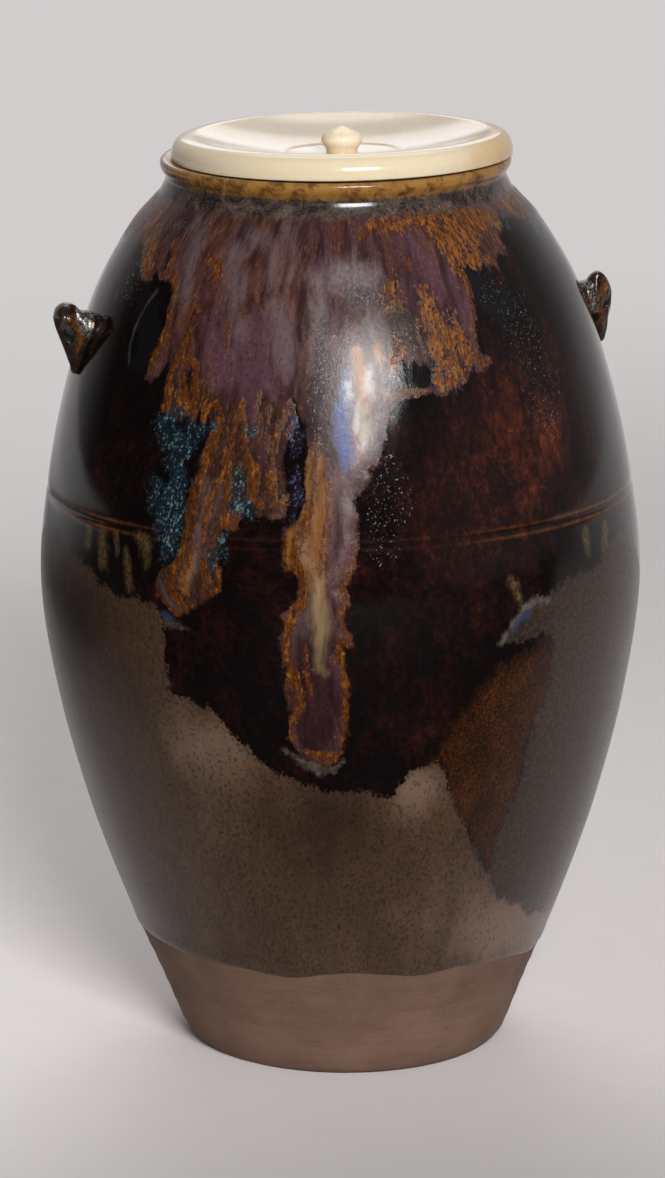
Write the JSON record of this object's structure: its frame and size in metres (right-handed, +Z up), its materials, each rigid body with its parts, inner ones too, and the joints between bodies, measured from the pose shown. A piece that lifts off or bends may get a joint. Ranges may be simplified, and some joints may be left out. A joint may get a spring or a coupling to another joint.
{
  "type": "tea caddy",
  "caption": "Tall-shouldered stoneware tea caddy with two small lugs, a dark iron glaze, a second glaze run down in tongues, and a loose dished lid with a small turned knob.",
  "frame": {"origin": "centre of the foot's flat base, on the surface that the caddy stands on", "axes": "+Z up, the way the lid lifts; -Y is the front that shows the long central run of glaze; +X is to the right seen from the front, towards the right lug"},
  "size_m": [0.068, 0.0686, 0.1052],
  "materials": {
    "clay": "fine unglazed reddish-brown stoneware, matt",
    "iron_glaze": "glossy black-brown iron glaze that thins to a satin tan-grey low down",
    "ash_overglaze": "glossy purple-brown and ochre streaked overglaze with pale blue clouds",
    "lug_glaze": "glossy brown glaze, thin and orange on the edges",
    "lid_ivory": "polished cream ivory with a fine grain and amber age stains",
    "knob_ivory": "polished honey-toned ivory",
    "gold_leaf": "gold leaf on thin paper, softly crinkled"
  },
  "bodies": {
    "jar": {"stoneware_body": "clay", "glaze_coat": "iron_glaze", "overglaze_pour": "ash_overglaze", "lug_left": "lug_glaze", "lug_right": "lug_glaze"},
    "lid": {"lid_plate": "lid_ivory", "lid_knob": "knob_ivory", "lid_lining": "gold_leaf"}
  },
  "joints": [
    {"name": "lid_lift", "type": "slide", "parent": "jar", "child": "lid", "axis": [0, 0, 1], "range_m": [0, 0.06]}
  ]
}
